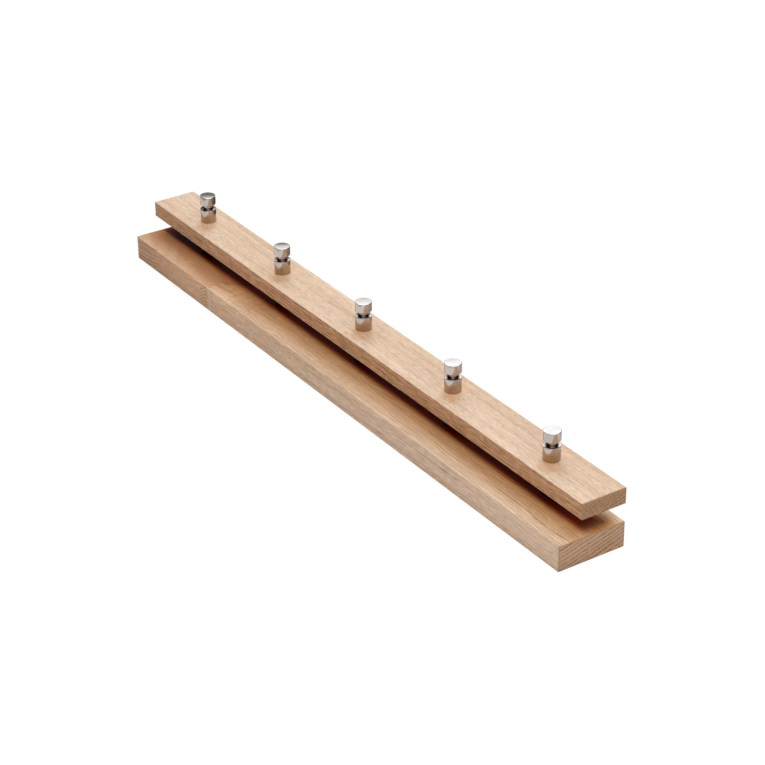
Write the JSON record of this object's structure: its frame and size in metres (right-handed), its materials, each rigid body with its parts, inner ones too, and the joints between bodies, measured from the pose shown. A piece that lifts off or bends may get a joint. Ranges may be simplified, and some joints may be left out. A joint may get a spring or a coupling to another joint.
{
  "type": "wall peg rail",
  "caption": "Wall rail with a narrow oak board standing off a wider one on round sleeves, and turned metal pegs along its front.",
  "frame": {"origin": "centre of the face that lies against the wall", "axes": "+X along the rail to the right as seen from the front, +Y towards the edge that hangs uppermost, +Z out of the wall along the pegs"},
  "size_m": [0.7, 0.068, 0.0846],
  "materials": {
    "oak": "clear matt oil on pale oak",
    "polished_nickel": "polished nickel",
    "dark_steel": "black satin",
    "zinc_steel": "bright zinc plate"
  },
  "bodies": {
    "root": {"back_board": "oak", "front_board": "oak", "peg_1": "polished_nickel", "peg_2": "polished_nickel", "peg_3": "polished_nickel", "peg_4": "polished_nickel", "peg_5": "polished_nickel", "spacer_1": "dark_steel", "spacer_2": "dark_steel", "spacer_3": "dark_steel", "spacer_4": "dark_steel", "spacer_5": "dark_steel", "peg_screw_1": "zinc_steel", "peg_screw_2": "zinc_steel", "peg_screw_3": "zinc_steel", "peg_screw_4": "zinc_steel", "peg_screw_5": "zinc_steel", "peg_washer_1": "zinc_steel", "peg_washer_2": "zinc_steel", "peg_washer_3": "zinc_steel", "peg_washer_4": "zinc_steel", "peg_washer_5": "zinc_steel", "hanger_plate_left": "zinc_steel", "hanger_plate_right": "zinc_steel", "hanger_screw_1": "zinc_steel", "hanger_screw_2": "zinc_steel", "hanger_screw_3": "zinc_steel", "hanger_screw_4": "zinc_steel"}
  },
  "joints": []
}
